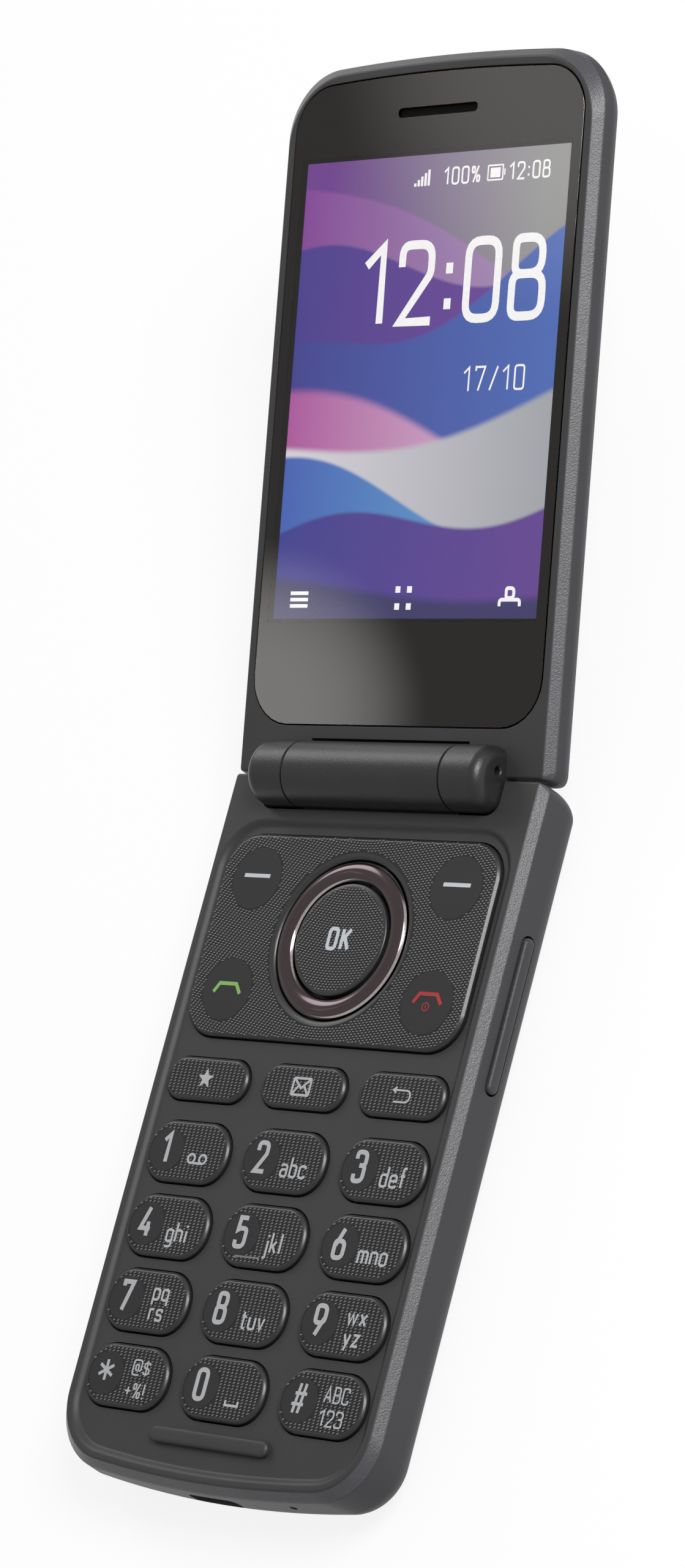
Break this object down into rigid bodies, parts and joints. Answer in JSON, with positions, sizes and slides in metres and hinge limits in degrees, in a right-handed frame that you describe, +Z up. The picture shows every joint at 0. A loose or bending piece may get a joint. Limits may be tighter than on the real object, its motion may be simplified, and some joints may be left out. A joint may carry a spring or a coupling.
{
  "type": "flip phone",
  "caption": "Folding mobile phone with a keypad base, a display lid on a knuckle hinge, round nav ring, press keys and a lift-off battery cover",
  "frame": {"origin": "middle of the base's flat back, on the table", "axes": "+X across the phone to the user's right, +Y from the user's end to the hinge and the lid, +Z up from the table"},
  "size_m": [0.0527, 0.1778, 0.0326],
  "materials": {
    "housing_plastic": "fine moulded grain, satin",
    "cover_plastic": "fine moulded grain",
    "chassis_plastic": "plain moulding",
    "battery_wrap": "dark plastic wrap over a thin can",
    "contact_gold": "plated",
    "circuit_board": "solder mask",
    "dome_film": "clear film over domes",
    "silicone": "soft matte",
    "socket_steel": "drawn sheet",
    "inner_plastic": "plain moulding",
    "hinge_steel": "turned",
    "bumper_rubber": "soft matte",
    "key_plastic": "micro-textured top with smooth bevelled edge",
    "ring_metal": "bronze anodised, satin, with cut bright edges",
    "rocker_plastic": "fine moulded grain",
    "display_glass": "polished, tinted",
    "outer_glass": "polished, smoked",
    "lit_display": "lit picture",
    "dark_display": "unlit",
    "ear_mesh": "fine woven mesh",
    "flex_film": "amber film"
  },
  "bodies": {
    "base": {"base_front_housing": "housing_plastic", "base_chassis": "chassis_plastic", "battery": "battery_wrap", "battery_contacts": "contact_gold", "main_board": "circuit_board", "dome_sheet": "dome_film", "keypad_mat": "silicone", "usb_socket": "socket_steel", "microphone": "contact_gold", "loudspeaker": "inner_plastic", "vibration_motor": "socket_steel", "sim_socket": "socket_steel", "side_switches": "inner_plastic", "base_screws": "hinge_steel", "lid_bumper": "bumper_rubber", "hinge_can": "hinge_steel", "hinge_follower": "hinge_steel", "hinge_spring": "hinge_steel", "flex_base": "flex_film"},
    "cover": {"battery_cover": "cover_plastic"},
    "lid": {"lid_front_frame": "housing_plastic", "lid_back_cover": "housing_plastic", "display_glass": "display_glass", "display_panel": "lit_display", "earpiece_mesh": "ear_mesh", "earpiece_speaker": "inner_plastic", "lid_board": "circuit_board", "lid_magnet": "hinge_steel", "lid_screws": "hinge_steel", "outer_window": "outer_glass", "outer_display": "dark_display", "camera_module": "inner_plastic", "camera_lens": "outer_glass", "hinge_shaft": "hinge_steel", "hinge_bush": "hinge_steel", "flex_lid": "flex_film"},
    "key_favourites_body": {"key_favourites": "key_plastic"},
    "key_messages_body": {"key_messages": "key_plastic"},
    "key_back_body": {"key_back": "key_plastic"},
    "key_1_body": {"key_1": "key_plastic"},
    "key_2_body": {"key_2": "key_plastic"},
    "key_3_body": {"key_3": "key_plastic"},
    "key_4_body": {"key_4": "key_plastic"},
    "key_5_body": {"key_5": "key_plastic"},
    "key_6_body": {"key_6": "key_plastic"},
    "key_7_body": {"key_7": "key_plastic"},
    "key_8_body": {"key_8": "key_plastic"},
    "key_9_body": {"key_9": "key_plastic"},
    "key_asterisk_body": {"key_asterisk": "key_plastic"},
    "key_0_body": {"key_0": "key_plastic"},
    "key_hash_body": {"key_hash": "key_plastic"},
    "ok_body": {"ok_button": "key_plastic"},
    "nav_ring_pad_body": {"nav_ring_pad": "silicone"},
    "nav_ring_body": {"nav_ring": "ring_metal"},
    "nav_plate_pad_body": {"nav_plate_pad": "silicone"},
    "nav_plate_body": {"nav_plate": "key_plastic"},
    "rocker_body": {"side_rocker": "rocker_plastic"}
  },
  "joints": [
    {"name": "lid_hinge", "type": "hinge", "parent": "base", "child": "lid", "pos_m": [0, 0.04494, 0.0104], "axis": [1, 0, 0], "range_deg": [0, 164.7]},
    {"name": "cover_lift", "type": "slide", "parent": "base", "child": "cover", "axis": [0, 0, -1], "range_m": [0, 0.012]},
    {"name": "press_favourites", "type": "slide", "parent": "base", "child": "key_favourites_body", "axis": [0, 0, -1], "range_m": [0, 0.0003], "stiffness_N_per_m": 3000},
    {"name": "press_messages", "type": "slide", "parent": "base", "child": "key_messages_body", "axis": [0, 0, -1], "range_m": [0, 0.0003], "stiffness_N_per_m": 3000},
    {"name": "press_back", "type": "slide", "parent": "base", "child": "key_back_body", "axis": [0, 0, -1], "range_m": [0, 0.0003], "stiffness_N_per_m": 3000},
    {"name": "press_1", "type": "slide", "parent": "base", "child": "key_1_body", "axis": [0, 0, -1], "range_m": [0, 0.0003], "stiffness_N_per_m": 3000},
    {"name": "press_2", "type": "slide", "parent": "base", "child": "key_2_body", "axis": [0, 0, -1], "range_m": [0, 0.0003], "stiffness_N_per_m": 3000},
    {"name": "press_3", "type": "slide", "parent": "base", "child": "key_3_body", "axis": [0, 0, -1], "range_m": [0, 0.0003], "stiffness_N_per_m": 3000},
    {"name": "press_4", "type": "slide", "parent": "base", "child": "key_4_body", "axis": [0, 0, -1], "range_m": [0, 0.0003], "stiffness_N_per_m": 3000},
    {"name": "press_5", "type": "slide", "parent": "base", "child": "key_5_body", "axis": [0, 0, -1], "range_m": [0, 0.0003], "stiffness_N_per_m": 3000},
    {"name": "press_6", "type": "slide", "parent": "base", "child": "key_6_body", "axis": [0, 0, -1], "range_m": [0, 0.0003], "stiffness_N_per_m": 3000},
    {"name": "press_7", "type": "slide", "parent": "base", "child": "key_7_body", "axis": [0, 0, -1], "range_m": [0, 0.0003], "stiffness_N_per_m": 3000},
    {"name": "press_8", "type": "slide", "parent": "base", "child": "key_8_body", "axis": [0, 0, -1], "range_m": [0, 0.0003], "stiffness_N_per_m": 3000},
    {"name": "press_9", "type": "slide", "parent": "base", "child": "key_9_body", "axis": [0, 0, -1], "range_m": [0, 0.0003], "stiffness_N_per_m": 3000},
    {"name": "press_asterisk", "type": "slide", "parent": "base", "child": "key_asterisk_body", "axis": [0, 0, -1], "range_m": [0, 0.0003], "stiffness_N_per_m": 3000},
    {"name": "press_0", "type": "slide", "parent": "base", "child": "key_0_body", "axis": [0, 0, -1], "range_m": [0, 0.0003], "stiffness_N_per_m": 3000},
    {"name": "press_hash", "type": "slide", "parent": "base", "child": "key_hash_body", "axis": [0, 0, -1], "range_m": [0, 0.0003], "stiffness_N_per_m": 3000},
    {"name": "press_ok", "type": "slide", "parent": "base", "child": "ok_body", "axis": [0, 0, -1], "range_m": [0, 0.0003], "stiffness_N_per_m": 3000},
    {"name": "nav_ring_up_down", "type": "hinge", "parent": "base", "child": "nav_ring_pad_body", "pos_m": [0, 0.02404, 0.0064], "axis": [1, 0, 0], "range_deg": [-1.5, 1.5], "stiffness_Nm_per_rad": 0.5},
    {"name": "nav_ring_left_right", "type": "hinge", "parent": "nav_ring_pad_body", "child": "nav_ring_body", "pos_m": [0, 0.02404, 0.00732], "axis": [0, 1, 0], "range_deg": [-1.5, 1.5], "stiffness_Nm_per_rad": 0.5},
    {"name": "nav_plate_up_down", "type": "hinge", "parent": "base", "child": "nav_plate_pad_body", "pos_m": [0, 0.02404, 0.0064], "axis": [1, 0, 0], "range_deg": [-0.7, 0.7], "stiffness_Nm_per_rad": 0.5},
    {"name": "nav_plate_left_right", "type": "hinge", "parent": "nav_plate_pad_body", "child": "nav_plate_body", "pos_m": [0, 0.02404, 0.00732], "axis": [0, 1, 0], "range_deg": [-0.7, 0.7], "stiffness_Nm_per_rad": 0.5},
    {"name": "volume_rocker", "type": "hinge", "parent": "base", "child": "rocker_body", "pos_m": [0.02365, 0.01704, 0.0057], "axis": [0, 0, 1], "range_deg": [-1.8, 1.8], "stiffness_Nm_per_rad": 0.5}
  ]
}
